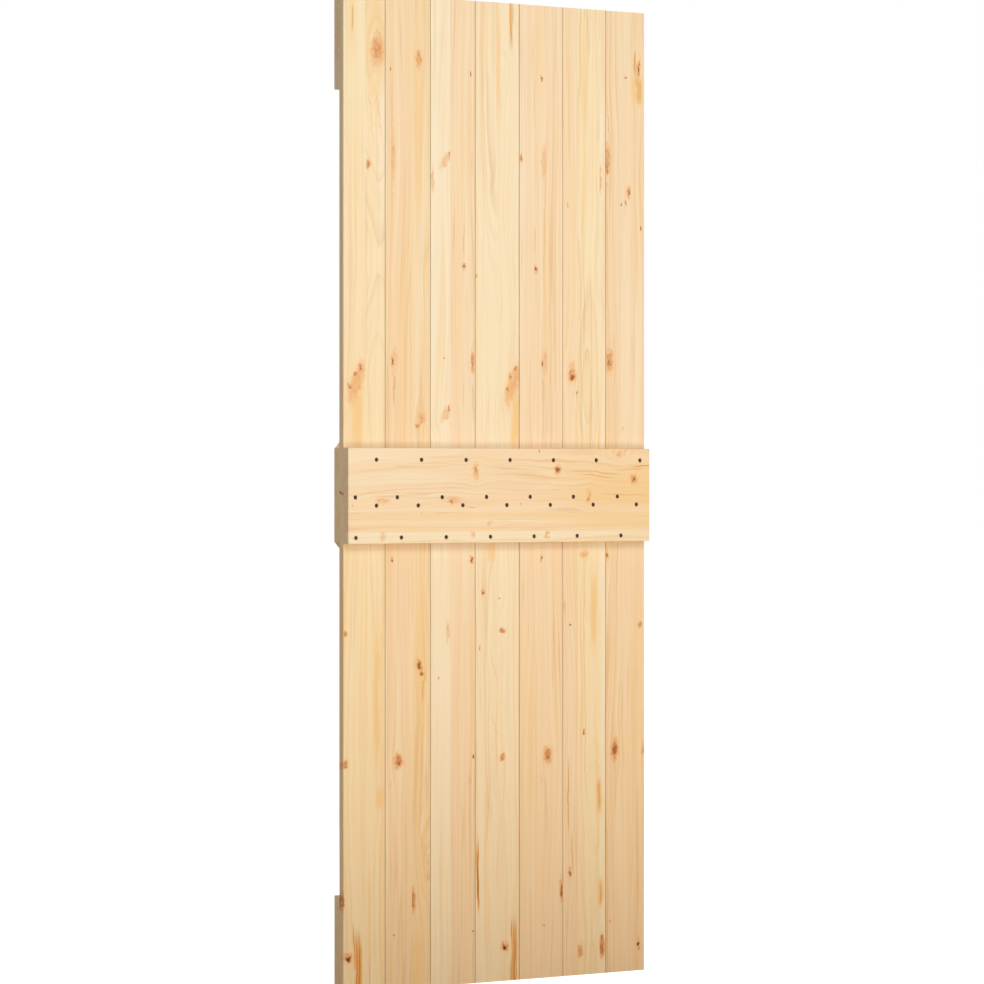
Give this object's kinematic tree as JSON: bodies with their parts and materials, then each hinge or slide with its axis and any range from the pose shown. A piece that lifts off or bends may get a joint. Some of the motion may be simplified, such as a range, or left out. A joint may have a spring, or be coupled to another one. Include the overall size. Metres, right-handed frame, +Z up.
{
  "type": "sliding door leaf",
  "caption": "Ledged and braced sliding door leaf of bare pine: upright tongue-and-groove planks nailed to cross rails, with diagonal braces on the back.",
  "frame": {"origin": "middle of the top edge of the back top rail, where hangers take hold", "axes": "+Z up the height, +X along the width, -Y out of the face with the single cross rail"},
  "size_m": [0.8, 0.052, 2.1],
  "materials": {
    "pine_plank": "planed, unfinished",
    "pine_board": "planed, unfinished",
    "nail_steel": "dark nail heads, added with the surface finish"
  },
  "bodies": {
    "root": {"plank_1": "pine_plank", "plank_2": "pine_plank", "plank_3": "pine_plank", "plank_4": "pine_plank", "plank_5": "pine_plank", "plank_6": "pine_plank", "plank_7": "pine_plank", "front_middle_rail": "pine_board", "back_top_rail": "pine_board", "back_middle_rail": "pine_board", "back_bottom_rail": "pine_board", "upper_brace": "pine_board", "lower_brace": "pine_board"}
  },
  "joints": []
}
